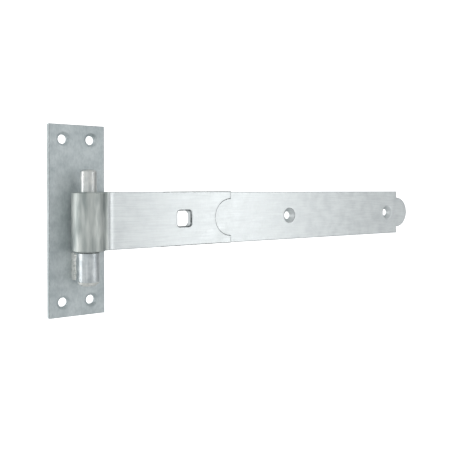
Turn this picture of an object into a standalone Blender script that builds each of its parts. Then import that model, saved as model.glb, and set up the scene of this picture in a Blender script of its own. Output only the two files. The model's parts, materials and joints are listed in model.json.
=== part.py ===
"""Hook-and-band gate hinge with its hook on a plate, hot-dip galvanised steel.

One flat bar is folded round a vertical pin. Its long leaf is the band that is screwed and bolted to the gate,
and its short leaf lies on the front of the long one. The pin stands in a D-shaped boss, welded to a plate
that is screwed to the post.

Frame: metres, +Z up along the pin, +X along the band towards its tip. The origin is the centre of the plate's
rear face, which lies on the post in the plane y = 0, so the front of the hinge faces -Y.
"""
import math

import bmesh
import bpy

GAP = 0.0003  # kept between pieces that touch
ROUND_STEPS = 48  # facets round a full circle
CUT_MARGIN = 0.002  # how far a cutter runs past the faces it goes through
SMOOTH_ANGLE = 35  # in degrees: an edge that turns by more stays sharp

# each finish: base colour and roughness
FINISHES = {
    "plate_zinc": ((0.45, 0.48, 0.49), 0.45),
    "pin_zinc": ((0.55, 0.56, 0.56), 0.35),
    "boss_zinc": ((0.52, 0.54, 0.54), 0.40),
    "weld_zinc": ((0.60, 0.61, 0.60), 0.45),
    "band_zinc": ((0.62, 0.63, 0.63), 0.40),
}

# back plate, cropped from 40 x 4 flat bar
PLATE_WIDTH = 0.040
PLATE_HEIGHT = 0.130
PLATE_THICKNESS = 0.004
PLATE_HOLE_INSET = 0.010
PLATE_HOLE_DIAMETER = 0.0062
PLATE_SINK_DIAMETER = 0.0098

# pin, off the plate's centre line towards the gate
PIN_X = 0.002
PIN_STAND_OFF = 0.0135  # from the plate's front face to the pin's axis
PIN_DIAMETER = 0.011
PIN_TOP = 0.0345
PIN_BOTTOM = -0.0430
PIN_CHAMFER = 0.0015

# boss that carries the pin; the band's knuckle rests on its top
BOSS_RADIUS = 0.0073
BOSS_ROOT = 0.0056  # half its width at the plate, where its flanks have drawn in
BOSS_HEIGHT = 0.0196
WELD_TOE = 0.0010  # how far a flank weld runs out on the plate
WELD_HEEL = 0.0085  # how far it climbs the boss's flank
FOOT_WELD_LEG = 0.0014
WELD_CROWN = 0.0008  # rise of a flank weld over the line from toe to heel
FOOT_WELD_CROWN = 0.00035
BEAD_STEPS = 6

# band, one bar folded round the pin
BAR_WIDTH = 0.040
BAR_THICKNESS = 0.0045
BAND_LENGTH = 0.350  # over all, from the knuckle to the tip
BAND_CENTRE_Z = -0.0005
EYE_DIAMETER = 0.0135
BEND_RADIUS = 0.004  # inside radius of the reverse bend behind the knuckle
LEAF_GAP = 0.0003
FRONT_LEAF_END = 0.120  # from the pin's axis to the front leaf's square shoulders
CROP_RADIUS = 0.014  # of the round tip, and of the hollow that the same tool leaves in the front leaf
TIP_STRAIGHT = 0.0007  # straight run between a shoulder and the start of its round
BOLT_HOLE_X = 0.0770  # from the pin's axis, as all places along the band
BOLT_HOLE_SIDE = 0.0114
BOLT_SLOT_LENGTH = 0.0190
BOLT_SLOT_HEIGHT = 0.0136
BAND_SCREW_X = (0.185, 0.310)
BAND_HOLE_DIAMETER = 0.0063
BAND_SINK_DIAMETER = 0.0123

PLATE_FRONT_Y = -PLATE_THICKNESS
PIN_Y = PLATE_FRONT_Y - PIN_STAND_OFF
PIN_RADIUS = PIN_DIAMETER / 2
BAR_HALF = BAR_THICKNESS / 2
FOLD_RADIUS = EYE_DIAMETER / 2 + BAR_HALF  # of the bar's middle round the pin, and its distance behind it
KNUCKLE_RADIUS = FOLD_RADIUS + BAR_HALF
FRONT_LEAF_Y = FOLD_RADIUS - BAR_THICKNESS - LEAF_GAP  # the front leaf's middle, behind the pin's axis
TIP_X = BAND_LENGTH - KNUCKLE_RADIUS
BOSS_TOP = BAND_CENTRE_Z - BAR_WIDTH / 2 - GAP
BOSS_BOTTOM = BOSS_TOP - BOSS_HEIGHT


def clear_scene():
    for item in list(bpy.data.objects):
        bpy.data.objects.remove(item, do_unlink=True)


def zinc(name):
    colour, roughness = FINISHES[name]
    finish = bpy.data.materials.new(name)
    finish.use_nodes = True
    shader = finish.node_tree.nodes["Principled BSDF"]
    shader.inputs["Base Color"].default_value = (*colour, 1.0)
    shader.inputs["Metallic"].default_value = 1.0
    shader.inputs["Roughness"].default_value = roughness
    return finish


def place(name, shape, finish=None):
    """Turn a bmesh into an object with outward normals; without a finish it is a cutter."""
    bmesh.ops.remove_doubles(shape, verts=shape.verts, dist=1e-7)
    bmesh.ops.recalc_face_normals(shape, faces=shape.faces)
    mesh = bpy.data.meshes.new(name)
    shape.to_mesh(mesh)
    shape.free()
    piece = bpy.data.objects.new(name, mesh)
    bpy.context.collection.objects.link(piece)
    if finish:
        mesh.materials.append(finish)
    else:
        piece.hide_render = True
        piece.display_type = "WIRE"
    return piece


def rectangle(x, z, half_width, half_height):
    return [
        (x - half_width, z - half_height), (x + half_width, z - half_height),
        (x + half_width, z + half_height), (x - half_width, z + half_height),
    ]


def prism(outline, low, high, axis):
    """Extrude a closed outline from low to high: an (x, y) outline along Z, or an (x, z) outline along Y."""
    shape = bmesh.new()
    if axis == "Z":
        corners = [shape.verts.new((x, y, low)) for x, y in outline]
        run = (0.0, 0.0, high - low)
    else:
        corners = [shape.verts.new((x, low, z)) for x, z in outline]
        run = (0.0, high - low, 0.0)
    face = shape.faces.new(corners)
    pushed = bmesh.ops.extrude_face_region(shape, geom=[face])
    moved = [item for item in pushed["geom"] if isinstance(item, bmesh.types.BMVert)]
    bmesh.ops.translate(shape, verts=moved, vec=run)
    return shape


def turned(profile, centre, axis):
    """Spin (radius, height) points once round an axis through centre: upright for Z, front to back for Y."""
    shape = bmesh.new()
    x, y, z = centre
    if axis == "Z":
        points = [shape.verts.new((x + r, y, z + h)) for r, h in profile]
        direction = (0.0, 0.0, 1.0)
    else:
        points = [shape.verts.new((x + r, y + h, z)) for r, h in profile]
        direction = (0.0, 1.0, 0.0)
    closed = profile[0][0] > 0.0
    ends = points[1:] + points[:1] if closed else points[1:]
    edges = [shape.edges.new(pair) for pair in zip(points, ends)]
    bmesh.ops.spin(
        shape, geom=points + edges, cent=centre, axis=direction, angle=2 * math.pi,
        steps=ROUND_STEPS, use_merge=True,
    )
    return shape


def smooth(piece):
    piece.data.shade_smooth()
    piece.data.set_sharp_from_angle(angle=math.radians(SMOOTH_ANGLE))


def cut(piece, cutter):
    hole = piece.modifiers.new(cutter.name, "BOOLEAN")
    hole.operation = "DIFFERENCE"
    hole.solver = "EXACT"
    hole.object = cutter


def arc(centre, radius, start, end, steps):
    """Points on an arc, with its angles in degrees, both ends included."""
    angles = [math.radians(start + (end - start) * i / steps) for i in range(steps + 1)]
    return [(centre[0] + radius * math.cos(a), centre[1] + radius * math.sin(a)) for a in angles]


def cut_countersunk(piece, name, x, z, front_y, back_y, hole, sink):
    """A screw hole through front_y to back_y with a 90 degree sink for the screw's head at the front."""
    depth = (sink - hole) / 2
    profile = [
        (0.0, -CUT_MARGIN),
        (sink / 2 + CUT_MARGIN, -CUT_MARGIN),
        (hole / 2, depth),
        (hole / 2, back_y - front_y + CUT_MARGIN),
        (0.0, back_y - front_y + CUT_MARGIN),
    ]
    cut(piece, place(name, turned(profile, (x, front_y, z), "Y")))


def make_back_plate():
    half_width = PLATE_WIDTH / 2
    half_height = PLATE_HEIGHT / 2
    outline = rectangle(0.0, 0.0, half_width, half_height)
    plate = place("back_plate", prism(outline, PLATE_FRONT_Y, 0.0, "Y"), zinc("plate_zinc"))
    hole_x = half_width - PLATE_HOLE_INSET
    hole_z = half_height - PLATE_HOLE_INSET
    for corner, (side, level) in enumerate([(-1, 1), (1, 1), (-1, -1), (1, -1)], start=1):
        cut_countersunk(
            plate, f"plate_hole_cutter_{corner}", side * hole_x, level * hole_z, PLATE_FRONT_Y, 0.0,
            PLATE_HOLE_DIAMETER, PLATE_SINK_DIAMETER,
        )


def make_hinge_pin():
    profile = [
        (0.0, PIN_TOP),
        (PIN_RADIUS - PIN_CHAMFER, PIN_TOP),
        (PIN_RADIUS, PIN_TOP - PIN_CHAMFER),
        (PIN_RADIUS, PIN_BOTTOM),
        (0.0, PIN_BOTTOM),
    ]
    smooth(place("hinge_pin", turned(profile, (PIN_X, PIN_Y, 0.0), "Z"), zinc("pin_zinc")))


def make_pin_boss():
    """Half round in front of the pin, with flanks that taper back to the plate, and a bore for the pin."""
    back_y = PLATE_FRONT_Y - GAP
    outline = arc((PIN_X, PIN_Y), BOSS_RADIUS, 180, 360, ROUND_STEPS // 2)
    outline += [(PIN_X + BOSS_ROOT, back_y), (PIN_X - BOSS_ROOT, back_y)]
    boss = place("pin_boss", prism(outline, BOSS_BOTTOM, BOSS_TOP, "Z"), zinc("boss_zinc"))
    smooth(boss)
    bore = PIN_RADIUS + GAP
    above = BOSS_TOP + CUT_MARGIN
    below = BOSS_BOTTOM - CUT_MARGIN
    profile = [(0.0, above), (bore, above), (bore, below), (0.0, below)]
    cut(boss, place("boss_bore_cutter", turned(profile, (PIN_X, PIN_Y, 0.0), "Z")))


def bead_face(toe, crown, heel):
    """The bulging face of a weld bead: a parabola that stands up by crown over the line from toe to heel."""
    points = []
    for i in range(BEAD_STEPS + 1):
        t = i / BEAD_STEPS
        rise = 4 * t * (1 - t)
        points.append(
            (
                toe[0] + (heel[0] - toe[0]) * t + crown[0] * rise,
                toe[1] + (heel[1] - toe[1]) * t + crown[1] * rise,
            )
        )
    return points


def make_boss_weld(name, side):
    """A bead in the corner of the boss's flank and the plate; side is -1 on the left, 1 on the right."""
    corner = (PIN_X + side * (BOSS_ROOT + GAP), PLATE_FRONT_Y - GAP)
    toe = (corner[0] + side * WELD_TOE, corner[1])
    taper = (BOSS_RADIUS - BOSS_ROOT) * WELD_HEEL / (PIN_STAND_OFF - GAP)
    heel = (corner[0] + side * taper, corner[1] - WELD_HEEL)
    outline = [corner] + bead_face(toe, (side * WELD_CROWN, 0.0), heel)
    smooth(place(name, prism(outline, BOSS_BOTTOM, BOSS_TOP, "Z"), zinc("weld_zinc")))


def make_foot_weld():
    """A ring bead under the boss, round the end of the pin."""
    corner = (PIN_RADIUS + GAP, BOSS_BOTTOM - GAP)
    toe = (corner[0] + FOOT_WELD_LEG, corner[1])
    heel = (corner[0], corner[1] - FOOT_WELD_LEG)
    crown = FOOT_WELD_CROWN * math.sqrt(0.5)
    profile = [corner] + bead_face(toe, (crown, -crown), heel)
    smooth(place("pin_foot_weld", turned(profile, (PIN_X, PIN_Y, 0.0), "Z"), zinc("weld_zinc")))


def bar_outline():
    """The folded bar seen from above, as the outline of a bar carried along its middle line.

    From the tip the middle line runs straight to the pin, turns round it as the knuckle, turns back in the
    reverse bend, and runs straight out again as the front leaf.
    """
    back_radius = BEND_RADIUS + BAR_HALF
    lap = math.degrees(math.acos((back_radius - FRONT_LEAF_Y) / (FOLD_RADIUS + back_radius)))
    fold_end = 270 + lap
    reach = FOLD_RADIUS + back_radius
    bend_centre = (reach * math.cos(math.radians(fold_end)), reach * math.sin(math.radians(fold_end)))
    sides = []
    for out in (BAR_HALF, -BAR_HALF):
        side = [(TIP_X, FOLD_RADIUS + out)]
        side += arc((0.0, 0.0), FOLD_RADIUS + out, 90, fold_end, ROUND_STEPS)
        side += arc(bend_centre, back_radius - out, fold_end - 180, 90, ROUND_STEPS // 4)[1:]
        side.append((FRONT_LEAF_END, FRONT_LEAF_Y - out))
        sides.append(side)
    outer, inner = sides
    return [(PIN_X + x, PIN_Y + y) for x, y in outer + inner[::-1]]


def crop_tip(band):
    """Round the tip and leave a square shoulder above and below it."""
    shoulder = PIN_X + TIP_X - CROP_RADIUS - TIP_STRAIGHT
    centre = (shoulder + TIP_STRAIGHT, BAND_CENTRE_Z)
    edge = BAR_WIDTH / 2 + CUT_MARGIN
    end = PIN_X + TIP_X + CUT_MARGIN
    outline = [(shoulder, BAND_CENTRE_Z + edge), (shoulder, BAND_CENTRE_Z + CROP_RADIUS)]
    outline += arc(centre, CROP_RADIUS, 90, -90, ROUND_STEPS // 2)
    outline += [(shoulder, BAND_CENTRE_Z - CROP_RADIUS), (shoulder, BAND_CENTRE_Z - edge)]
    outline += [(end, BAND_CENTRE_Z - edge), (end, BAND_CENTRE_Z + edge)]
    back = PIN_Y + KNUCKLE_RADIUS
    cutter = prism(outline, back - BAR_THICKNESS - CUT_MARGIN, back + CUT_MARGIN, "Y")
    cut(band, place("tip_cutter", cutter))


def crop_front_leaf(band, gap_y):
    """Cut the round hollow in the end of the front leaf, down to the gap between the leaves."""
    end = PIN_X + FRONT_LEAF_END
    centre = (end - TIP_STRAIGHT, BAND_CENTRE_Z)
    outline = [(end + CUT_MARGIN, BAND_CENTRE_Z + CROP_RADIUS)]
    outline += arc(centre, CROP_RADIUS, 90, 270, ROUND_STEPS // 2)
    outline.append((end + CUT_MARGIN, BAND_CENTRE_Z - CROP_RADIUS))
    front = PIN_Y + FRONT_LEAF_Y - BAR_HALF
    cut(band, place("front_leaf_cutter", prism(outline, front - CUT_MARGIN, gap_y, "Y")))


def cut_bolt_hole(band, gap_y):
    """A square hole for a coach bolt's neck in the front leaf, and a longer slot for the bolt behind it."""
    x = PIN_X + BOLT_HOLE_X
    z = BAND_CENTRE_Z
    half = BOLT_HOLE_SIDE / 2
    square = rectangle(x, z, half, half)
    front = PIN_Y + FRONT_LEAF_Y - BAR_HALF
    cut(band, place("bolt_hole_cutter", prism(square, front - CUT_MARGIN, gap_y, "Y")))
    end_radius = BOLT_SLOT_HEIGHT / 2
    run = BOLT_SLOT_LENGTH / 2 - end_radius
    slot = arc((x + run, z), end_radius, -90, 90, ROUND_STEPS // 2)
    slot += arc((x - run, z), end_radius, 90, 270, ROUND_STEPS // 2)
    back = PIN_Y + KNUCKLE_RADIUS
    cut(band, place("bolt_slot_cutter", prism(slot, gap_y, back + CUT_MARGIN, "Y")))


def make_band():
    half = BAR_WIDTH / 2
    bar = prism(bar_outline(), BAND_CENTRE_Z - half, BAND_CENTRE_Z + half, "Z")
    band = place("strap_band", bar, zinc("band_zinc"))
    smooth(band)
    gap_y = PIN_Y + FRONT_LEAF_Y + BAR_HALF + LEAF_GAP / 2
    crop_tip(band)
    crop_front_leaf(band, gap_y)
    cut_bolt_hole(band, gap_y)
    back = PIN_Y + KNUCKLE_RADIUS
    for number, along in enumerate(BAND_SCREW_X, start=1):
        cut_countersunk(
            band, f"band_hole_cutter_{number}", PIN_X + along, BAND_CENTRE_Z, back - BAR_THICKNESS, back,
            BAND_HOLE_DIAMETER, BAND_SINK_DIAMETER,
        )
    # the band turns about the pin's axis, so its origin lies there
    for vertex in band.data.vertices:
        vertex.co.x -= PIN_X
        vertex.co.y -= PIN_Y
    band.location = (PIN_X, PIN_Y, 0.0)


clear_scene()
make_back_plate()
make_hinge_pin()
make_pin_boss()
make_boss_weld("boss_weld_left", -1)
make_boss_weld("boss_weld_right", 1)
make_foot_weld()
make_band()
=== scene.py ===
import json
import math

import bmesh
import bpy
import numpy as np
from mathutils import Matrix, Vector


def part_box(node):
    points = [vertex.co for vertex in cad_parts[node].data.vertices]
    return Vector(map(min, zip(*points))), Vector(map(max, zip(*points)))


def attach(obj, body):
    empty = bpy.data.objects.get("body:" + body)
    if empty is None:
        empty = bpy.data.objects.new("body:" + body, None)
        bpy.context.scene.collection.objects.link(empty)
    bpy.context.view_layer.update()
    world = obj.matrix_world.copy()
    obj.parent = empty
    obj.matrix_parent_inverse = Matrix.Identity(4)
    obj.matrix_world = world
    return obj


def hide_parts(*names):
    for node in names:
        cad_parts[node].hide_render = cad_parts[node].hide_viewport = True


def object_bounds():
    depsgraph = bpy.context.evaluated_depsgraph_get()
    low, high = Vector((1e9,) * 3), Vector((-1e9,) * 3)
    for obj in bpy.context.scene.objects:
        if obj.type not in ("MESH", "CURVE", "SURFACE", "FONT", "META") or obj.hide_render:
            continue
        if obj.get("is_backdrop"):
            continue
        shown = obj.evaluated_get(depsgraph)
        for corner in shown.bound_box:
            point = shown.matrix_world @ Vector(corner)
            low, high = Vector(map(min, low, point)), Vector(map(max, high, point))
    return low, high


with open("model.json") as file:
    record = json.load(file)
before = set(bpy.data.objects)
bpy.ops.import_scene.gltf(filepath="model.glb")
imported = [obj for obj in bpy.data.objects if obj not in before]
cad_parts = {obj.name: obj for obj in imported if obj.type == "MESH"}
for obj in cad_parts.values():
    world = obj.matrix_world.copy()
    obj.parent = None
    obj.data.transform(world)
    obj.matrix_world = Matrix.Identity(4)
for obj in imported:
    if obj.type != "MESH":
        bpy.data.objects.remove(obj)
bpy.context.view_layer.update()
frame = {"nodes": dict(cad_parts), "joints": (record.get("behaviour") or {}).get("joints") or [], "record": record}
mm = 0.001

# places read from the frame: the pin's axis, the middle of each opening and the box of each node
pinAxis = np.array(frame["joints"][0]["pos_m"])
openings = {item["name"]: np.array(item["box_m"]).mean(0) for item in frame["record"]["physics"]["openings"]}
boxes = {name: np.array([list(corner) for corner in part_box(name)]) for name in frame["nodes"]}
plateFront = boxes["back_plate"][0][1]
pinRadius = (boxes["hinge_pin"][1][0] - boxes["hinge_pin"][0][0]) / 2
joinDistance = 2e-6  # how near two points of neighbouring patches lie when they are one and the same
sharpAngle = math.radians(42)


def fromPin(name):
    # how far along the band an opening lies from the pin's axis
    return openings[name][0] - pinAxis[0]


# a patch is a grid of points, rows x columns x 3, with one number a point for each mark: along is how far it
# lies along the bar, worked is how hard it was bent, and rim is 1 where a cut edge is painted dark, for its thin
# zinc and as painted shade and painted dark reflection
def patch(points, closeRows=False, closeColumns=False, along=0.0, worked=0.0, rim=0.0):
    blank = np.zeros(points.shape[:2])
    return {
        "points": points,
        "closed": (closeRows, closeColumns),
        "along": blank + along,
        "worked": blank + worked,
        "rim": blank + rim,
    }


def gridFaces(rows, columns, closed, start):
    # each face joins a grid point to its neighbours in the next row and the next column
    row = np.arange(rows if closed[0] else rows - 1)[:, None]
    column = np.arange(columns if closed[1] else columns - 1)[None, :]
    nextRow = (row + 1) % rows
    nextColumn = (column + 1) % columns
    corners = [row * columns + column, row * columns + nextColumn]
    corners += [nextRow * columns + nextColumn, nextRow * columns + column]
    return np.stack(np.broadcast_arrays(*corners), -1).reshape(-1, 4) + start


def makePiece(name, patches, finish, body, nodes):
    points = np.concatenate([item["points"].reshape(-1, 3) for item in patches])
    counts = np.cumsum([0] + [item["along"].size for item in patches])
    faces = np.concatenate(
        [gridFaces(*item["along"].shape, item["closed"], start) for item, start in zip(patches, counts)]
    )
    mesh = bpy.data.meshes.new(name)
    mesh.from_pydata(points, [], faces.tolist())
    for mark in ("along", "worked", "rim"):
        values = np.concatenate([item[mark].ravel() for item in patches]).astype(np.float32)
        mesh.attributes.new(mark, "FLOAT", "POINT").data.foreach_set("value", values)
    # patches share the points on their borders, so they are merged there and the normals turned outwards
    shape = bmesh.new()
    shape.from_mesh(mesh)
    bmesh.ops.remove_doubles(shape, verts=shape.verts, dist=joinDistance)
    bmesh.ops.dissolve_degenerate(shape, edges=shape.edges, dist=joinDistance / 20)
    bmesh.ops.recalc_face_normals(shape, faces=shape.faces)
    openEdges = sum(not edge.is_manifold for edge in shape.edges)
    shape.to_mesh(mesh)
    shape.free()
    mesh.shade_smooth()
    mesh.set_sharp_from_angle(angle=sharpAngle)
    mesh.materials.append(finish)
    piece = bpy.data.objects.new(name, mesh)
    bpy.context.scene.collection.objects.link(piece)
    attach(piece, body)
    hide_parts(*nodes)
    print(name, len(mesh.polygons), "faces", openEdges, "open edges")
    return piece


def edgeRound(thickness, radius, count=4):
    # the rim of a flat bar: a quarter circle in from each face, as (distance in from the edge, height) pairs
    turn = np.radians(np.linspace(0, 90, count + 1))
    inset = radius * (1 - np.sin(turn))
    height = thickness / 2 - radius * (1 - np.cos(turn))
    return np.stack([np.concatenate([inset, inset[::-1]]), np.concatenate([height, -height[::-1]])], 1)


def steps(low, high, count):
    # count equal steps from low to high, both ends included
    return np.linspace(low, high, count + 1)


def eased(value, start, stop):
    # 0 before start, 1 after stop, and the smooth cubic 3t^2 - 2t^3 between them
    t = np.clip((value - start) / (stop - start), 0, 1)
    return t * t * (3 - 2 * t)


def withHeight(flat, height):
    # flat points, two numbers each, all put at one height
    return np.concatenate([flat, np.full(flat.shape[:-1] + (1,), height)], -1)


def wall(path, rim):
    # path(inset) is the outline that far in from the edge; the grid has one row for each height of the rim
    return np.array([withHeight(path(inset), height) for inset, height in rim])


def rimShade(rim):
    # how dark each row of a rim is painted, for thin zinc and as painted shade and painted dark reflection: 1 on
    # its two rounded arrises, 0 on the faces and between them
    shade = np.ones((len(rim), 1))
    middle = len(rim) // 2
    shade[[0, middle - 1, middle, -1]] = 0.0
    return shade


collarShares = (0.0, 0.04, 0.2, 0.5, 0.8, 0.97, 1.0)


def ruled(left, right, height, shares):
    # a flat face between two lines of as many points: each row is one share of the way from left to right
    share = np.array(shares)[:, None, None]
    return withHeight(left[None] + (right - left)[None] * share, height)


def collar(outer, inner, height, shares=collarShares):
    # a flat face round a hole, ruled from the hole's loop out to the outer one
    return ruled(inner, outer, height, shares)


def headings(loop, centre):
    # the angle at which each point of a loop is seen from its middle
    return np.arctan2(loop[:, 1] - centre[1], loop[:, 0] - centre[0])


def roundLoop(centre, heading, radius):
    # a circle, with one point at each heading
    return np.stack([centre[0] + radius * np.cos(heading), centre[1] + radius * np.sin(heading)], 1)


def squareLoop(centre, heading, half, corner):
    # a square with rounded corners: along each heading, the distance to the flat side or to the corner's arc
    c = np.abs(np.cos(heading))
    s = np.abs(np.sin(heading))
    flat = half / np.maximum(c, s)
    inner = half - corner
    middle = inner * (c + s)
    arc = middle + np.sqrt(np.maximum(middle**2 - 2 * inner**2 + corner**2, 0))
    reach = np.where(flat * np.minimum(c, s) <= inner, flat, arc)
    return np.stack([centre[0] + reach * np.cos(heading), centre[1] + reach * np.sin(heading)], 1)


def slotLoop(centre, heading, halfLength, radius):
    # a slot with round ends: along each heading, the distance to its straight side or to its end's arc
    c = np.abs(np.cos(heading))
    s = np.abs(np.sin(heading))
    run = halfLength - radius
    side = radius / np.maximum(s, 1e-9)
    arc = run * c + np.sqrt(np.maximum(radius**2 - (run * s) ** 2, 0))
    reach = np.where(side * c <= run, side, arc)
    return np.stack([centre[0] + reach * np.cos(heading), centre[1] + reach * np.sin(heading)], 1)


def sinkProfile(sink, hole, thickness, lip):
    # a screw hole from the front face to the back: soft rim, cone, soft corner, straight bore, soft rim
    depth = (sink - hole) / 2
    radii = [sink / 2 + lip, sink / 2 + lip * 0.2, sink / 2 - lip * 0.8, hole / 2 + lip * 0.5, hole / 2]
    deep = [0.0, lip * 0.15, lip * 0.8, depth - lip * 0.5, depth + lip * 0.4]
    radii += [hole / 2, hole / 2 + lip * 0.3, hole / 2 + lip]
    deep += [thickness - lip, thickness - lip * 0.3, thickness]
    return np.array(radii), thickness / 2 - np.array(deep)


def lippedProfile(thickness, lip):
    # how much a punched hole grows at each height: its rim rolls in over a quarter circle of radius lip, then
    # it runs straight, with a small break at the back
    turn = np.radians([0, 22, 45, 68, 90])
    back = 0.25 * mm
    grown = list(lip * (1 - np.sin(turn))) + [0.0, back * 0.3, back]
    deep = list(lip * (1 - np.cos(turn))) + [thickness - back, thickness - back * 0.3, thickness]
    return np.array(grown), thickness / 2 - np.array(deep)


def bore(loops, heights):
    # the wall of a hole: one loop at each height
    return np.array([withHeight(loop, height) for loop, height in zip(loops, heights)])


def linear(code):
    # sRGB hex to linear light
    channel = [int(code[i:i + 2], 16) / 255 for i in (1, 3, 5)]
    return [c / 12.92 if c <= 0.04045 else ((c + 0.055) / 1.055) ** 2.4 for c in channel] + [1.0]


def addNode(tree, kind, inputs, **settings):
    # one node with its settings; each input is a socket to link or a value to set
    node = tree.nodes.new("ShaderNode" + kind)
    for key, value in settings.items():
        setattr(node, key, value)
    for key, value in inputs.items():
        if isinstance(value, bpy.types.NodeSocket):
            tree.links.new(value, node.inputs[key])
        else:
            node.inputs[key].default_value = value
    return node


def workedZinc(tree, place, colour, look):
    # where the bar was worked, the zinc is grey and streaked up and down: noise on (along, height), drawn out
    # in height, picks between the dull and the worn grey
    worked = addNode(tree, "Attribute", {}, attribute_name="worked").outputs["Fac"]
    along = addNode(tree, "Attribute", {}, attribute_name="along").outputs["Fac"]
    height = addNode(tree, "SeparateXYZ", {"Vector": place}).outputs["Z"]
    flat = addNode(tree, "CombineXYZ", {"X": along, "Y": height}).outputs[0]
    squeezed = addNode(tree, "Mapping", {"Vector": flat, "Scale": look["streakScale"]}).outputs[0]
    streaks = addNode(
        tree, "TexNoise",
        {"Vector": squeezed, "Scale": 1 / look["streak"], "Detail": 2.5, "W": look["streakSeed"]},
        noise_dimensions="4D",
    )
    spread = addNode(
        tree, "MapRange",
        {"Value": streaks.outputs["Fac"], "From Min": 0.36, "From Max": 0.62, "To Min": 0.0, "To Max": 1.0},
    )
    greys = addNode(
        tree, "Mix",
        {"Factor": spread.outputs[0], "A": linear(look["dull"]), "B": linear(look["worn"])},
        data_type="RGBA",
    )
    patched = addNode(
        tree, "Mix", {"Factor": worked, "A": colour, "B": greys.outputs["Result"]}, data_type="RGBA"
    )
    return worked, patched.outputs["Result"]


# hot-dip galvanised mild steel: the part is pickled and dipped in molten zinc at about 450 C. The eye sees a
# satin bluish grey with soft clouds some 10 mm across, faint spangle of 2 to 4 mm, fine grain from rolling
# that still shows through the zinc, and duller patches where the steel was bent or the zinc drained off thin.
def galvanised(name, look):
    finish = bpy.data.materials.new(name)
    finish.use_nodes = True
    tree = finish.node_tree
    shader = tree.nodes["Principled BSDF"]
    place = addNode(tree, "TexCoord", {}).outputs["Object"]
    drawnOut = addNode(tree, "Mapping", {"Vector": place, "Scale": look["grainScale"]}).outputs[0]
    clouds = addNode(
        tree, "TexNoise", {"Vector": place, "Scale": 1 / look["cloud"], "Detail": 3.0, "Roughness": 0.55}
    ).outputs["Fac"]
    spangle = addNode(
        tree, "TexVoronoi", {"Vector": place, "Scale": 1 / look["spangle"]}, feature="SMOOTH_F1"
    ).outputs["Distance"]
    grain = addNode(
        tree, "TexNoise", {"Vector": drawnOut, "Scale": 1 / look["grain"], "Detail": 2.0}
    ).outputs["Fac"]
    pits = addNode(
        tree, "TexNoise", {"Vector": place, "Scale": 1 / look["pit"], "Detail": 2.0, "Roughness": 0.6}
    ).outputs["Fac"]

    # clouds and grain are added up, then spread over the range from dark to light zinc
    share = addNode(tree, "Math", {0: grain, 1: look["grainShare"]}, operation="MULTIPLY")
    mixed = addNode(tree, "Math", {0: clouds, 1: share.outputs[0]}, operation="ADD")
    middle = 0.5 + look["grainShare"] * 0.5
    low, high = middle - look["contrast"], middle + look["contrast"]
    tone = addNode(
        tree, "MapRange",
        {"Value": mixed.outputs[0], "From Min": low, "From Max": high, "To Min": 0.0, "To Max": 1.0},
    )
    base = addNode(
        tree, "Mix",
        {"Factor": tone.outputs[0], "A": linear(look["dark"]), "B": linear(look["light"])},
        data_type="RGBA",
    )

    # cut edges: the zinc drains off them unevenly, so they stay dark with lighter specks a few mm apart. The same
    # darkening is also painted shade and painted dark reflection: the shade of the gap under the front leaf's end,
    # and the dark surroundings seen in the rounded arrises
    rim = addNode(tree, "Attribute", {}, attribute_name="rim").outputs["Fac"]
    specks = addNode(tree, "TexNoise", {"Vector": place, "Scale": 1 / look["speck"], "Detail": 2.0})
    bare = addNode(
        tree, "MapRange",
        {"Value": specks.outputs["Fac"], "From Min": 0.35, "From Max": 0.55, "To Min": 0.45, "To Max": 1.0},
    )
    drainedAndShaded = addNode(tree, "Math", {0: rim, 1: bare.outputs[0]}, operation="MULTIPLY")
    edged = addNode(
        tree, "Mix",
        {"Factor": drainedAndShaded.outputs[0], "A": base.outputs["Result"], "B": linear(look["edge"])},
        data_type="RGBA",
    )
    colour = edged.outputs["Result"]

    # the gloss varies with the clouds
    smooth = look["rough"] - look["roughSpread"]
    coarse = look["rough"] + look["roughSpread"]
    roughness = addNode(
        tree, "MapRange",
        {"Value": clouds, "From Min": 0.3, "From Max": 0.7, "To Min": smooth, "To Max": coarse},
    ).outputs[0]
    if "dull" in look:
        worked, colour = workedZinc(tree, place, colour, look)
        roughness = addNode(
            tree, "Math", {0: worked, 1: look["workedRough"], 2: roughness}, operation="MULTIPLY_ADD"
        ).outputs[0]
    tree.links.new(colour, shader.inputs["Base Color"])
    tree.links.new(roughness, shader.inputs["Roughness"])
    shader.inputs["Metallic"].default_value = look["metallic"]

    # relief: clouds first, then spangle, grain and pits, each bump on top of the last
    relief = addNode(tree, "Bump", {"Height": clouds, "Strength": 1.0, "Distance": look["cloudRelief"]})
    for height, depth in ((spangle, "spangleRelief"), (grain, "grainRelief"), (pits, "pitRelief")):
        relief = addNode(
            tree, "Bump",
            {"Height": height, "Strength": 1.0, "Distance": look[depth], "Normal": relief.outputs[0]},
        )
    tree.links.new(relief.outputs[0], shader.inputs["Normal"])
    return finish


# lengths are the real sizes of each pattern; grainScale draws the grain out along the way the metal was
# rolled
zincBase = {
    "cloud": 9 * mm,
    "spangle": 3.2 * mm,
    "grain": 0.9 * mm,
    "grainScale": (0.05, 1.0, 1.0),
    "grainShare": 0.7,  # of grain in the tone, beside the clouds
    "contrast": 0.2,  # the smaller, the harder the patches' borders
    "pit": 0.55 * mm,
    "speck": 1.5 * mm,
    "cloudRelief": 0.018 * mm,
    "spangleRelief": 0.012 * mm,
    "grainRelief": 0.010 * mm,
    "pitRelief": 0.006 * mm,
    "metallic": 1.0,
    "rough": 0.34,
    "roughSpread": 0.05,
    # the colour painted on the rims: partly thin zinc, partly painted shade and painted dark reflection
    "edge": "#565c5d",
}
bandLook = zincBase | {
    "light": "#eaeeee",
    "dark": "#dadedf",
    "dull": "#a3aba9",
    "worn": "#dadeda",
    "streak": 3.9 * mm,
    "streakScale": (1.0, 0.16, 1.0),
    "streakSeed": 4.3,
    "workedRough": 0.16,  # added to the roughness where the bar was worked
}
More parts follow.
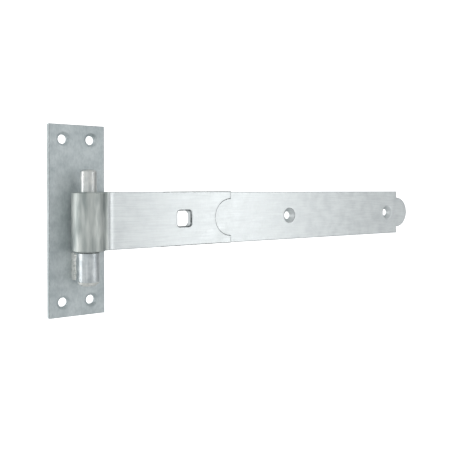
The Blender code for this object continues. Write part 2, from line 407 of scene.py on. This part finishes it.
plateLook = zincBase | {
    "light": "#dde4e5",
    "dark": "#bdc6c8",
    # the plate's rims are painted this colour: partly thin zinc, partly painted shade and painted dark reflection
    "edge": "#8d9494",
    "cloud": 8 * mm,
    "grainScale": (1.0, 1.0, 0.45),
    "grainShare": 0.4,
    "pit": 0.8 * mm,
    "cloudRelief": 0.04 * mm,
    "pitRelief": 0.025 * mm,
    "metallic": 0.62,  # white rust dulls it
    "rough": 0.5,
}
pinLook = zincBase | {
    "light": "#f0f0ec",
    "dark": "#c3c8c8",
    "grainScale": (1.0, 1.0, 0.05),
    "grainRelief": 0.03 * mm,
    "rough": 0.38,
}
bossLook = zincBase | {
    "light": "#e9edee",
    "dark": "#bbc2c5",
    "cloud": 6 * mm,
    "grain": 1.6 * mm,
    "grainScale": (1.0, 1.0, 0.1),
    "grainRelief": 0.03 * mm,
    "rough": 0.38,
}
weldLook = zincBase | {
    "light": "#fbfbf7",
    "dark": "#c9cdc8",
    "cloud": 3 * mm,
    "pitRelief": 0.02 * mm,
    "metallic": 0.3,  # thick, matt zinc over slag
    "rough": 0.46,
}

bandZinc = galvanised("hot_dip_zinc_on_flat_bar", bandLook)
plateZinc = galvanised("hot_dip_zinc_on_plate", plateLook)
pinZinc = galvanised("hot_dip_zinc_on_drawn_bar", pinLook)
bossZinc = galvanised("hot_dip_zinc_on_forged_boss", bossLook)
weldZinc = galvanised("hot_dip_zinc_on_weld", weldLook)
print("finishes made")

plateSpec = {
    "arris": 0.35 * mm,  # the sheared edges, softened by the zinc
    "sink": 9.8 * mm,
    "hole": 6.2 * mm,
    "lip": 0.22 * mm,
    "cell": 20 * mm,  # the square of plate round each hole that its own grid fills
    "wave": 0.035 * mm,  # the flats aren't dead flat
}


def gentleRoll(points, height):
    # how far a slow roll of the flat faces moves each point: the mean of three long sine waves, times height
    x, z = points[..., 0], points[..., 2]
    roll = np.sin(x / 0.031 + z / 0.023)
    roll += np.sin(x / 0.017 - z / 0.037 + 1.3)
    roll += np.sin(z / 0.013 + x / 0.055 + 0.4)
    return height * roll / 3


def makeBackPlate(spec):
    # a flat bar: its rim, its faces ruled between the two rows of holes, and a cell round each hole
    low, high = boxes["back_plate"]
    centre = (low + high) / 2
    halfWidth, _, halfHeight = (high - low) / 2
    thickness = high[1] - low[1]
    cell = spec["cell"]
    rim = edgeRound(thickness, spec["arris"])
    share = steps(0, 1, 12)
    inner = halfHeight - cell

    def toPlate(flat):
        # flat points are (across, up, height over the middle); the front of the plate faces -Y
        return np.stack([flat[..., 0] + centre[0], centre[1] - flat[..., 2], flat[..., 1] + centre[2]], -1)

    def outline(inset):
        w, h = halfWidth - inset, halfHeight - inset
        across = np.concatenate([-w + w * share, w * share[1:]])
        ends = (h - inner) * share
        up = np.concatenate([-h + ends, steps(-inner, inner, 24)[1:-1], inner + ends])
        bottom = np.stack([across, np.full(across.size, -h)], 1)
        right = np.stack([np.full(up.size, w), up], 1)
        return np.concatenate([bottom[:-1], right[:-1], -bottom[:-1], -right[:-1]])

    patches = [patch(toPlate(wall(outline, rim)), closeColumns=True, rim=rimShade(rim))]
    inset = spec["arris"]
    radii, heights = sinkProfile(spec["sink"], spec["hole"], thickness, spec["lip"])
    for side, sideName in ((-1, "left"), (1, "right")):
        for level, levelName in ((-1, "bottom"), (1, "top")):
            opening = openings["plate_screw_hole_" + levelName + "_" + sideName]
            hole = opening[[0, 2]] - centre[[0, 2]]
            across = side * (halfWidth - inset) * share
            up = level * (inner + (halfHeight - inset - inner) * share)
            near = np.stack([across, np.full(across.size, up[0])], 1)
            flank = np.stack([np.full(up.size, across[-1]), up], 1)
            far = np.stack([across[::-1], np.full(across.size, up[-1])], 1)
            seam = np.stack([np.full(up.size, 0.0), up[::-1]], 1)
            outer = np.concatenate([near[:-1], flank[:-1], far[:-1], seam[:-1]])
            heading = headings(outer, hole)
            loops = [roundLoop(hole, heading, radius) for radius in radii]
            patches.append(patch(toPlate(bore(loops, heights)), closeColumns=True))
            patches.append(patch(toPlate(collar(outer, loops[0], thickness / 2)), closeColumns=True))
            patches.append(patch(toPlate(collar(outer, loops[-1], -thickness / 2)), closeColumns=True))
    w = halfWidth - inset
    across = np.concatenate([-w + w * share, w * share[1:]])
    bottom = np.stack([across, np.full(across.size, -inner)], 1)
    top = np.stack([across, np.full(across.size, inner)], 1)
    for height in (thickness / 2, -thickness / 2):
        patches.append(patch(toPlate(ruled(bottom, top, height, steps(0, 1, 24)))))
    for item in patches:
        item["points"][..., 1] += gentleRoll(item["points"], spec["wave"])
        # the roll never takes the plate out of its own box
        item["points"][..., 1] = np.clip(item["points"][..., 1], low[1], high[1])
    return makePiece("back_plate_detailed", patches, plateZinc, "hook_plate", ["back_plate"])


makeBackPlate(plateSpec)

pinSpec = {
    "chamfer": 1.5 * mm,
    "crown": 0.25 * mm,  # the cropped top stands a little proud in its middle
    "soft": 0.18 * mm,  # the zinc rounds both edges of the chamfer
    "foot": 0.5 * mm,  # and the edge at the foot
    "turns": 72,
    "scale": 0.04 * mm,  # drawn bar isn't quite round
}


def makeHingePin(spec):
    # a turned form: one ring for each (radius, height) from the middle of the top, down the side, to the foot
    radius = pinRadius
    bottom, top = boxes["hinge_pin"][:, 2]
    chamfer, soft, foot = spec["chamfer"], spec["soft"], spec["foot"]
    radii = [0.0, radius * 0.35, radius - chamfer - soft, radius - chamfer + soft * 0.4]
    heights = [top, top - spec["crown"] * 0.3, top - spec["crown"], top - spec["crown"] - soft * 0.3]
    radii += [radius - soft * 0.7, radius - soft * 0.1, radius]
    heights += [top - chamfer + soft * 0.3, top - chamfer - soft * 0.4, top - chamfer - soft * 1.5]
    body = steps(top - chamfer - 2 * soft, bottom + 2.4 * foot, 40)
    radii += [radius] * body.size
    heights += list(body)
    radii += [radius - 0.3 * foot, radius - foot, radius * 0.6, 0.0]
    heights += [bottom + foot, bottom + 0.24 * foot, bottom, bottom]
    around = steps(0, 2 * math.pi, spec["turns"])[:-1]
    height = np.array(heights)[:, None]
    # the radius shrinks a little along a few lines up the bar, as drawing and the zinc's runs leave it
    out = spec["scale"] * (np.sin(3 * around + 0.5) + 0.5 * np.sin(7 * around + 220 * height + 1.1) - 1.5) / 3
    reach = np.array(radii)[:, None] * (1 + out / radius)
    points = np.stack(
        [pinAxis[0] + reach * np.cos(around), pinAxis[1] + reach * np.sin(around), height + 0 * around], -1
    )
    piece = patch(points, closeColumns=True)
    return makePiece("hinge_pin_detailed", [piece], pinZinc, "hook_plate", ["hinge_pin"])


makeHingePin(pinSpec)

bossSpec = {
    "arris": 0.55 * mm,
    "root": 5.6 * mm,  # half the boss's width at the plate
    "boreClearance": 0.12 * mm,
    "boreLip": 0.3 * mm,
    "faceShares": (0, 0.2, 0.8, 1),  # the top and bottom faces' rows, from the bore out to the edge
    "sunk": 0.15 * mm,  # how far the flanks run on into the plate's front face, where they are welded
    "turns": 40,
}


def makePinBoss(spec):
    # a block whose outline is half a circle round the pin, then straight flanks in to its root at the plate
    low, high = boxes["pin_boss"]
    radius = (high[0] - low[0]) / 2
    depth = plateFront + spec["sunk"] - pinAxis[1]
    thickness = high[2] - low[2]
    middle = (high[2] + low[2]) / 2
    rim = edgeRound(thickness, spec["arris"], 4)
    turn = np.radians(steps(180, 360, spec["turns"]))
    flank = steps(0, 1, 12)[1:]
    back = steps(0, 1, 10)[1:-1]

    def toBoss(flat):
        return np.stack([flat[..., 0] + pinAxis[0], flat[..., 1] + pinAxis[1], flat[..., 2] + middle], -1)

    def outline(inset):
        r = radius - inset
        front = np.stack([r * np.cos(turn), r * np.sin(turn)], 1)
        root = spec["root"] - inset
        right = np.stack([r + (root - r) * flank, depth * flank], 1)
        rear = np.stack([root - 2 * root * back, np.full(back.size, depth)], 1)
        left = right[::-1] * [-1, 1]
        return np.concatenate([front, right, rear, left])

    outer = outline(spec["arris"])
    heading = headings(outer, (0.0, 0.0))
    hole = pinRadius + spec["boreClearance"]
    lip = spec["boreLip"]
    radii = np.array([hole + lip, hole + lip * 0.2, hole, hole, hole + lip * 0.2, hole + lip])
    heights = np.array([0, lip * 0.3, lip, thickness - lip, thickness - lip * 0.3, thickness])
    loops = [roundLoop((0.0, 0.0), heading, value) for value in radii]
    patches = [
        patch(toBoss(wall(outline, rim)), closeColumns=True),
        patch(toBoss(bore(loops, thickness / 2 - heights)), closeColumns=True),
        patch(toBoss(collar(outer, loops[0], thickness / 2, spec["faceShares"])), closeColumns=True),
        patch(toBoss(collar(outer, loops[-1], -thickness / 2, spec["faceShares"])), closeColumns=True),
    ]
    return makePiece("pin_boss_detailed", patches, bossZinc, "hook_plate", ["pin_boss"])


makePinBoss(bossSpec)

weldSpec = {
    "toe": 0.8 * mm,  # out on the plate
    "heel": 8.3 * mm,  # up the boss's flank
    "crown": 0.55 * mm,
    "pitch": 3.0 * mm,  # from one ripple to the next, as the torch was moved
    "ripple": 0.5 * mm,
    "sag": 0.9,  # of a pitch, in the middle of each ripple
    "startGap": 0.4 * mm,  # from the boss's underside to the bead
    "stopGap": 0.5 * mm,
    "sunk": 0.25 * mm,  # into plate and boss
    "rows": 120,
}


def makeBossWeld(name, side, spec):
    # the bead's section is a low bow from its toe on the plate to its heel on the flank; going up the boss it
    # is moved out and in by one hump a ripple, and each ripple sags in its middle
    low, high = boxes["pin_boss"]
    halfWidth = (high[0] - low[0]) / 2
    cornerX = pinAxis[0] + side * bossSpec["root"]
    cornerY = plateFront
    taper = (halfWidth - bossSpec["root"]) / (cornerY - pinAxis[1])
    start = low[2] + spec["startGap"]
    length = high[2] - spec["stopGap"] - start
    up = steps(0, 1, spec["rows"])[:, None]
    across = steps(0, 1, 18)[None, :]
    phase = up * length / spec["pitch"] - spec["sag"] * (across - 0.5) ** 2 + 0.2 * side
    wave = phase - np.floor(phase)
    ripple = spec["ripple"] * (np.sin(math.pi * wave) ** 0.7 - 0.6)
    swell = 1 + 0.07 * np.sin(9 * up + side) + 0.04 * np.sin(23 * up)
    rise = 4 * across * (1 - across)
    # the ends are round: the whole section shrinks towards the corner there
    end = np.clip(1 - np.abs(2 * up - 1) ** 24, 0, 1) ** 0.5
    out = (spec["toe"] * (1 - across) + (spec["crown"] + ripple) * rise**0.6) * end * swell
    forward = (spec["heel"] * swell + 1.6 * ripple) * across * end
    x = cornerX + side * (out + taper * forward)
    y = cornerY - forward
    face = np.stack([x, y, start + up * length + 0 * across], -1)
    heel = face[:, -1:].copy()
    heel[..., 0] -= side * spec["sunk"]
    corner = heel.copy()
    corner[..., 0] = cornerX - side * spec["sunk"]
    corner[..., 1] = cornerY + spec["sunk"]
    toe = face[:, :1].copy()
    toe[..., 1] = cornerY + spec["sunk"]
    section = np.concatenate([face, heel, corner, toe], 1)
    # close both ends on a point at the middle of their section
    bottom = np.repeat(section[:1].mean(1, keepdims=True), section.shape[1], 1)
    top = np.repeat(section[-1:].mean(1, keepdims=True), section.shape[1], 1)
    bead = patch(np.concatenate([bottom, section, top]), closeColumns=True)
    return makePiece(name + "_detailed", [bead], weldZinc, "hook_plate", [name])


makeBossWeld("boss_weld_left", -1, weldSpec)
makeBossWeld("boss_weld_right", 1, weldSpec)

footSpec = {
    "leg": 1.5 * mm,
    "crown": 0.35 * mm,
    "ripples": 11,
    "ripple": 0.2 * mm,
    "lump": 0.2 * mm,  # two slow swells on the way round
    "sunk": 0.2 * mm,  # into pin and boss
    "turns": 132,
}


def makeFootWeld(spec):
    # a fillet round the pin's foot: each section bows from its toe under the boss down to its heel on the pin
    radius, sunk = pinRadius, spec["sunk"]
    under = boxes["pin_boss"][0][2]
    around = steps(0, 2 * math.pi, spec["turns"])[:-1][None, :]
    across = steps(0, 1, 8)[:, None]
    wave = np.abs(np.sin(around * spec["ripples"] / 2 + 0.5 * across))
    lump = spec["ripple"] * (wave - 0.5) + spec["lump"] * np.sin(2 * around + 0.7)
    leg = spec["leg"] + lump
    rise = spec["crown"] * 4 * across * (1 - across)
    out = radius - sunk + (leg + sunk) * (1 - across) + rise
    down = leg * across + rise
    ring = np.stack([out + 0 * around, down + 0 * around], -1)
    rootIn = np.stack([np.full(around.shape, radius - sunk), np.full(around.shape, -sunk)], -1)
    rootOut = np.stack([out[:1] + 0 * around, np.full(around.shape, -sunk)], -1)
    ring = np.concatenate([rootOut, ring, rootIn])
    points = np.stack(
        [
            pinAxis[0] + ring[..., 0] * np.cos(around),
            pinAxis[1] + ring[..., 0] * np.sin(around),
            under - ring[..., 1],
        ],
        -1,
    )
    piece = patch(points, closeRows=True, closeColumns=True)
    name = "pin_foot_weld"
    return makePiece(name + "_detailed", [piece], weldZinc, "hook_plate", [name])


makeFootWeld(footSpec)

bandSpec = {
    "thickness": 4.5 * mm,
    "leafGap": 0.3 * mm,  # between the two leaves
    "bend": 4.0 * mm,  # inside radius of the reverse bend
    "arris": 0.7 * mm,
    "support": 0.35 * mm,  # a row this far in keeps the flats flat up to the arris
    "frontLeaf": 120 * mm,  # from the pin's axis to the front leaf's shoulders
    "cropRadius": 14 * mm,  # round tip, and the hollow that the same tool leaves
    "cropRun": 0.7 * mm,  # straight run between a shoulder and its round
    "sink": 12.3 * mm,
    "hole": 6.3 * mm,
    "square": 11.4 * mm,
    "squareCorner": 1.9 * mm,
    "squareLip": 1.1 * mm,
    "slotLip": 0.4 * mm,
    "sinkLip": 0.3 * mm,
    "slotLength": 19 * mm,
    "slotHeight": 13.6 * mm,
    "drawIn": 0.6 * mm,  # bending draws the knuckle's outer face in at top and bottom
    "frontRise": 0.35 * mm,  # the front leaf's end lies a little high on the back leaf
    "sway": 0.80 * mm,  # how far the bar still stands out at the end of the bend
    "swayRun": 5.6 * mm,  # and the run over which it settles to the front leaf's plane
    "onset": 6 * mm,  # the run over which the bend begins to tell on the bar
    "workedEnd": (2.5 * mm, 1.8 * mm),  # worked zinc ends so far before and past the reverse bend's end
    "drawnEnd": (1.5 * mm, 3.5 * mm),  # and the drawing in, so far before and past the knuckle's end
    "wave": 0.045 * mm,
    "waveStart": (14 * mm, 40 * mm),  # the flats' roll sets in between these
    "backRim": 0.25,  # the back leaf's rims get a quarter of the painted rim darkness; the front leaf's carry the painted shade of the gap at its end
}


def makeBand(spec):
    # a flat bar folded round the pin: two leaves of ruled faces with a cell round each hole, and between them
    # the bar's section carried round the knuckle and the reverse bend
    low, high = boxes["strap_band"]
    thick = spec["thickness"]
    half = (high[2] - low[2]) / 2
    outerRadius = pinAxis[0] - low[0]
    fold = outerRadius - thick / 2  # of the bar's middle round the pin
    frontY = fold - thick - spec["leafGap"]
    bend = spec["bend"] + thick / 2
    tip = high[0] - pinAxis[0]
    arris = spec["arris"]
    rim = edgeRound(thick, arris)
    crop = spec["cropRadius"]
    end = spec["frontLeaf"]
    reach = half - arris

    # the fold runs on past its front by lap, to where it meets the reverse bend. The two arcs touch there, so
    # cos(lap) is how far the bend's middle lies in front of the pin, over the sum of the two radii
    lap = math.acos((bend - frontY) / (fold + bend))
    foldEnd = 1.5 * math.pi + lap
    bendX, bendY = (fold + bend) * math.cos(foldEnd), (fold + bend) * math.sin(foldEnd)

    # heights of the bar's rows: they are those of the hollow's points, and run right through the bar
    hollowTurn = np.radians(steps(-90, 90, 22))
    hollowRows = (crop + arris) * np.sin(hollowTurn)
    shoulderRows = np.array([(reach + crop + arris) / 2, reach - spec["support"], reach])
    rows = np.concatenate([-shoulderRows[::-1], hollowRows, shoulderRows])

    def place(x, y, z):
        return np.stack([pinAxis[0] + x, pinAxis[1] + y, pinAxis[2] + z], -1)

    def onBack(flat):
        # height over the middle is towards the front, -Y
        return place(flat[..., 0], fold - flat[..., 2], flat[..., 1])

    def onFront(flat):
        return place(flat[..., 0], frontY - flat[..., 2], flat[..., 1])

    def addFlat(points, toLeaf, runFrom, rim=0.0):
        patches.append(patch(toLeaf(points), along=runFrom(points[..., 0]), rim=rim))

    def addRing(points, toLeaf, runFrom, rim=0.0):
        patches.append(patch(toLeaf(points), closeColumns=True, along=runFrom(points[..., 0]), rim=rim))

    def backRun(x):
        return -x

    def frontRun(x):
        return fold * (math.pi + lap) + bend * lap + x - bendX

    patches = []

    def section():
        # once round the bar's section as (height over the middle, z): outer face, top, inner face, bottom
        outer = np.stack([np.full(rows.size, thick / 2), rows], 1)
        top = np.stack([rim[1:-1, 1], half - rim[1:-1, 0]], 1)
        return np.concatenate([outer, top, -outer, -top])

    # the rims' painted darkness, for thin zinc and as painted shade and painted dark reflection: full on the front
    # leaf, less on the back leaf
    def bareAndShadedRim(toLeaf):
        return rimShade(rim) * (1.0 if toLeaf is onFront else spec["backRim"])

    def edges(xs, toLeaf, runFrom):
        # the top and bottom rims of a flat stretch whose faces other patches fill
        for sign in (-1, 1):
            def path(inset):
                return np.stack([xs, np.full(xs.size, sign * (half - inset))], 1)

            addFlat(wall(path, rim), toLeaf, runFrom, bareAndShadedRim(toLeaf))

    def plain(xs, toLeaf, runFrom):
        # a flat stretch with no hole: both rims and both faces
        edges(xs, toLeaf, runFrom)
        for height in (-thick / 2, thick / 2):
            grid = np.stack(np.broadcast_arrays(xs[:, None], rows[None, :], height), -1)
            addFlat(grid, toLeaf, runFrom)

    def holedCell(centreX, loopsFor, heights, toLeaf, runFrom):
        # a stretch of bar as long as it is wide, with a hole in its middle
        a, b = centreX - reach, centreX + reach
        xs = steps(a, b, 16)
        edges(xs, toLeaf, runFrom)
        bottom = np.stack([xs, np.full(xs.size, -reach)], 1)
        right = np.stack([np.full(rows.size, b), rows], 1)
        top = np.stack([xs[::-1], np.full(xs.size, reach)], 1)
        left = np.stack([np.full(rows.size, a), rows[::-1]], 1)
        outer = np.concatenate([bottom[:-1], right[:-1], top[:-1], left[:-1]])
        heading = headings(outer, (centreX, 0.0))
        loops = loopsFor(heading)
        # the rolled lip of the hole in the front leaf is bare, and a thin ring of each hole in the back leaf
        shade = np.zeros((len(loops), 1))
        shade[1:4 if toLeaf is onFront else 2] = 1.0
        addRing(bore(loops, heights), toLeaf, runFrom, shade)
        addRing(collar(outer, loops[0], heights[0]), toLeaf, runFrom)
        addRing(collar(outer, loops[-1], heights[-1]), toLeaf, runFrom)

    boltX = fromPin("bolt_hole")
    innerX = fromPin("band_screw_hole_inner")
    outerX = fromPin("band_screw_hole_outer")
    sinkRadii, sinkHeights = sinkProfile(spec["sink"], spec["hole"], thick, spec["sinkLip"])
    squareGrowth, squareHeights = lippedProfile(thick, spec["squareLip"])
    slotGrowth, slotHeights = lippedProfile(thick, spec["slotLip"])

    # the square hole for the bolt's neck, and the slot behind it
    def squareLoops(heading):
        half, corner = spec["square"] / 2, spec["squareCorner"]
        return [squareLoop((boltX, 0.0), heading, half + grown, corner + grown) for grown in squareGrowth]

    def slotLoops(heading):
        length, height = spec["slotLength"] / 2, spec["slotHeight"] / 2
        return [slotLoop((boltX, 0.0), heading, length + grown, height + grown) for grown in slotGrowth]

    def screwLoops(heading):
        return [roundLoop((innerX, 0.0), heading, radius) for radius in sinkRadii]

    holedCell(boltX, squareLoops, squareHeights, onFront, frontRun)
    holedCell(boltX, slotLoops, slotHeights, onBack, backRun)
    holedCell(innerX, screwLoops, sinkHeights, onBack, backRun)

    # plain stretches between the holes
    tipStart = outerX - reach
    plain(steps(0.0, boltX - reach, 12), onBack, backRun)
    plain(steps(boltX + reach, innerX - reach, 14), onBack, backRun)
    plain(steps(innerX + reach, tipStart, 18), onBack, backRun)

    # the tip: shoulders and a round end, round the outer screw hole
    shoulder = tip - crop - spec["cropRun"]
    edgeShare = steps(0, 1, 14)
    tipTurn = np.radians(steps(-90, 90, 36))

    def tipPath(inset):
        # the lower half of the outline is edge, shoulder and a quarter circle, and the upper half mirrors it
        edge, r = half - inset, crop - inset
        x = tipStart + (shoulder - inset - tipStart) * edgeShare
        side = np.stack([x, np.full(x.size, -edge)], 1)
        step = np.stack([np.full(5, shoulder - inset), -edge + (edge - r) * steps(0, 1, 5)[1:]], 1)
        turn = np.stack([tip - crop + r * np.cos(tipTurn), r * np.sin(tipTurn)], 1)
        lower = np.concatenate([side, step, turn[:tipTurn.size // 2 + 1]])
        upper = lower[:-1][::-1] * [1, -1]
        return np.concatenate([lower, upper])

    addFlat(wall(tipPath, rim), onBack, backRun, bareAndShadedRim(onBack))
    left = np.stack([np.full(rows.size, tipStart), rows[::-1]], 1)[1:-1]
    outer = np.concatenate([tipPath(arris), left])
    heading = headings(outer, (outerX, 0.0))
    loops = [roundLoop((outerX, 0.0), heading, r) for r in sinkRadii]
    addRing(bore(loops, sinkHeights), onBack, backRun)
    addRing(collar(outer, loops[0], sinkHeights[0]), onBack, backRun)
    addRing(collar(outer, loops[-1], sinkHeights[-1]), onBack, backRun)

    # the front leaf's end: shoulders and a round hollow
    endStart = boltX + reach
    endShare = np.array([0, 0.25, 0.5, 0.75, 0.96, 1.0])

    def hollowPath(inset):
        # as the tip's, but the quarter circle bites into the leaf
        edge, bite = half - inset, crop + inset
        x = endStart + (end - inset - endStart) * endShare
        side = np.stack([x, np.full(x.size, -edge)], 1)
        shares = (rows[:4] + reach) / (reach - crop - arris)
        step = np.stack([np.full(3, end - inset), -edge + (edge - bite) * shares[1:]], 1)
        deep = crop + spec["cropRun"]
        turn = np.stack([end - inset - deep * np.cos(hollowTurn), bite * np.sin(hollowTurn)], 1)
        lower = np.concatenate([side, step, turn[1:hollowTurn.size // 2 + 1]])
        return np.concatenate([lower, lower[:-1][::-1] * [1, -1]])

    # the hollow's rim is painted dark: painted shade of the gap over the back leaf and painted dark reflection in
    # its arris, beside thin zinc
    addFlat(wall(hollowPath, rim), onFront, frontRun, bareAndShadedRim(onFront))
    path = hollowPath(arris)
    right = path[endShare.size - 1:len(path) - endShare.size + 1]
    left = np.stack([np.full(rows.size, endStart), rows], 1)
    for height in (-thick / 2, thick / 2):
        addFlat(ruled(left, right, height, endShare), onFront, frontRun)

    # the knuckle and the reverse bend: the bar's section carried round the pin and back on to the front leaf
    knuckleTurn = steps(math.pi / 2, foldEnd, 96)
    bendTurn = steps(foldEnd - math.pi, math.pi / 2, 24)[1:]
    settling = bendX + spec["swayRun"]
    straight = np.concatenate([steps(bendX, settling, 12)[1:], steps(settling, boltX - reach, 12)[1:]])
    loop = section()
    over, z = loop[:, 0][None], loop[:, 1][None]
    turn = knuckleTurn[:, None]
    reachOut = fold + over
    knuckle = np.stack([reachOut * np.cos(turn), reachOut * np.sin(turn), z + 0 * turn], -1)
    turn = bendTurn[:, None]
    reachIn = bend - over
    back = np.stack([bendX + reachIn * np.cos(turn), bendY + reachIn * np.sin(turn), z + 0 * turn], -1)
    run = straight[:, None]
    leaf = np.stack([run + 0 * over, frontY - over + 0 * run, z + 0 * run], -1)
    tube = np.concatenate([knuckle, back, leaf])
    knuckleRun = fold * (knuckleTurn - math.pi / 2)
    bendRun = knuckleRun[-1] + bend * (foldEnd - math.pi - bendTurn)
    runs = np.concatenate([knuckleRun, bendRun, bendRun[-1] + straight - bendX])

    def bentTo(stop, ends):
        # 1 where the bar was bent, fading to 0 along the back leaf and again round the run at which it stops
        return eased(runs, 0.0, spec["onset"]) * (1 - eased(runs, stop - ends[0], stop + ends[1]))

    hard = bentTo(bendRun[-1], spec["workedEnd"])
    drawn = bentTo(knuckleRun[-1], spec["drawnEnd"])
    pull = spec["drawIn"] * drawn[:, None] * (over / thick + 0.5)
    tube[..., 2] *= 1 - pull / half
    # along runs from the knuckle's start; the front leaf's own patches carry on from here
    folded = place(tube[..., 0], tube[..., 1], tube[..., 2])
    patches.append(patch(folded, closeColumns=True, along=runs[:, None], worked=hard[:, None]))

    # out of the bend the front leaf settles to its plane along a cubic, whose slope catches the light
    settled = np.clip(1 - (runs - bendRun[-1]) / spec["swayRun"], 0, 1) ** 3
    sway = spec["sway"] * np.where(runs > bendRun[-1], settled, eased(runs, knuckleRun[-1], bendRun[-1]))
    folded[..., 1] -= sway[:, None]

    # the front leaf rises to its end, and the flats roll a little, away from the knuckle only
    for item in patches:
        x = item["points"][..., 0] - pinAxis[0]
        y = item["points"][..., 1] - pinAxis[1]
        rise = spec["frontRise"] * eased(x, bendX, end) * (y < fold - thick / 2 - spec["leafGap"] / 2)
        away = eased(x, *spec["waveStart"])
        item["points"][..., 1] += (gentleRoll(item["points"], spec["wave"]) - spec["wave"]) * away
        item["points"][..., 2] += rise
    return makePiece("strap_band_detailed", patches, bandZinc, "band", ["strap_band"])


makeBand(bandSpec)
print("pieces made")

stageSpec = {
    "floorBelow": 0.30,
    "floorSize": 12.0,
    "flatShare": 0.4,  # of the way out, before the floor turns up
    "steps": 24,
    "colour": "#f4f5f5",
    "roughness": 0.9,
    "white": 1.0,
}


def makeFloor(spec):
    # a pale lit floor that runs up all round, as the square of how far past the flat a point lies
    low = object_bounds()[0]
    floorZ = low[2] - spec["floorBelow"]
    size = spec["floorSize"]
    share = steps(-1, 1, spec["steps"])
    x, y = np.meshgrid(share * size, share * size)
    far = np.clip(np.hypot(x, y) / size - spec["flatShare"], 0, None)
    points = np.stack([x, y, floorZ + size * far**2], -1)
    mesh = bpy.data.meshes.new("floor")
    mesh.from_pydata(points.reshape(-1, 3), [], gridFaces(*x.shape, (False, False), 0).tolist())
    mesh.shade_smooth()
    finish = bpy.data.materials.new("pale_floor_paint")
    finish.use_nodes = True
    shader = finish.node_tree.nodes["Principled BSDF"]
    shader.inputs["Base Color"].default_value = linear(spec["colour"])
    shader.inputs["Roughness"].default_value = spec["roughness"]
    shader.inputs["Emission Color"].default_value = (1.0, 1.0, 1.0, 1.0)
    shader.inputs["Emission Strength"].default_value = spec["white"]
    mesh.materials.append(finish)
    floor = bpy.data.objects.new("floor", mesh)
    bpy.context.scene.collection.objects.link(floor)
    floor.visible_glossy = False
    floor.visible_diffuse = False
    floor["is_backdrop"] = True


makeFloor(stageSpec)

# the studio is darker on the right, away from the lamps: the cosine between a direction and darkSide sets the
# strength, from strength at the first nearness to darkStrength at the second
worldSpec = {
    "colour": (0.965, 0.99, 1.0, 1.0),
    "strength": 0.60,
    "darkSide": (0.996, -0.087, 0.0),
    "darkStrength": 0.36,
    "nearness": (0.87, 0.98),
}


def addWorld(spec):
    # plain light from all round, dimmer the nearer a direction is to darkSide
    world = bpy.data.worlds.new("studio")
    bpy.context.scene.world = world
    world.use_nodes = True
    tree = world.node_tree
    background = tree.nodes["Background"]
    background.inputs["Color"].default_value = spec["colour"]
    direction = addNode(tree, "TexCoord", {}).outputs["Generated"]
    nearness = addNode(tree, "VectorMath", {0: direction, 1: spec["darkSide"]}, operation="DOT_PRODUCT")
    far, near = spec["nearness"]
    strength = addNode(
        tree, "MapRange",
        {"Value": nearness.outputs["Value"], "From Min": far, "From Max": near,
         "To Min": spec["strength"], "To Max": spec["darkStrength"]},
    )
    tree.links.new(strength.outputs[0], background.inputs["Strength"])


addWorld(worldSpec)

# softboxes stand round the hinge: azimuth in degrees to the right of the front, elevation, distance and size
# in metres, and brightness as a multiple of plain white
softboxes = {
    "key": {"azimuth": 36, "elevation": 3, "distance": 2.5, "size": (0.44, 2.4), "brightness": 1.7},
    "left_strip": {"azimuth": -112, "elevation": 5, "distance": 1.3, "size": (0.5, 1.4), "brightness": 1.9},
    "back_left": {"azimuth": -155, "elevation": 5, "distance": 1.6, "size": (1.1, 1.6), "brightness": 0.2},
    "front_left": {"azimuth": -52, "elevation": 10, "distance": 2.2, "size": (1.7, 2.0), "brightness": 0.3},
}


def addSoftbox(name, spec, aim):
    # it faces aim from its distance out; its power is brightness times pi times its area
    azimuth = math.radians(spec["azimuth"])
    elevation = math.radians(spec["elevation"])
    out = np.array([
        math.sin(azimuth) * math.cos(elevation), -math.cos(azimuth) * math.cos(elevation), math.sin(elevation)
    ])
    lamp = bpy.data.lights.new(name, "AREA")
    lamp.shape = "RECTANGLE"
    lamp.size, lamp.size_y = spec["size"]
    lamp.energy = spec["brightness"] * math.pi * lamp.size * lamp.size_y
    box = bpy.data.objects.new(name, lamp)
    bpy.context.scene.collection.objects.link(box)
    box.location = aim + out * spec["distance"]
    box.rotation_euler = (math.pi / 2 - elevation, 0.0, azimuth)


bandMiddle = np.array([0.11, pinAxis[1], 0.0])
for softboxName, softbox in softboxes.items():
    addSoftbox(softboxName, softbox, bandMiddle)

cameraSpec = {
    "place": (-0.17629, -0.41367, 0.02051),
    "heading": 35.85,  # degrees to the right of straight at the plate
    "tilt": -0.71,
    "lens": 51.2,  # on a 36 mm wide sensor
    "shift": (0.01085, -0.05938),
}


def addCamera(spec):
    # heading and tilt turn a camera that looks straight at the plate
    camera = bpy.data.cameras.new("camera")
    camera.sensor_width = 36.0
    camera.lens = spec["lens"]
    camera.shift_x, camera.shift_y = spec["shift"]
    camera.clip_start = 0.01
    camera.clip_end = 100.0
    stand = bpy.data.objects.new("camera", camera)
    bpy.context.scene.collection.objects.link(stand)
    stand.location = spec["place"]
    stand.rotation_euler = (math.radians(90 + spec["tilt"]), 0.0, -math.radians(spec["heading"]))
    bpy.context.scene.camera = stand


addCamera(cameraSpec)
bpy.context.scene.view_settings.view_transform = "Standard"
print("stage set")
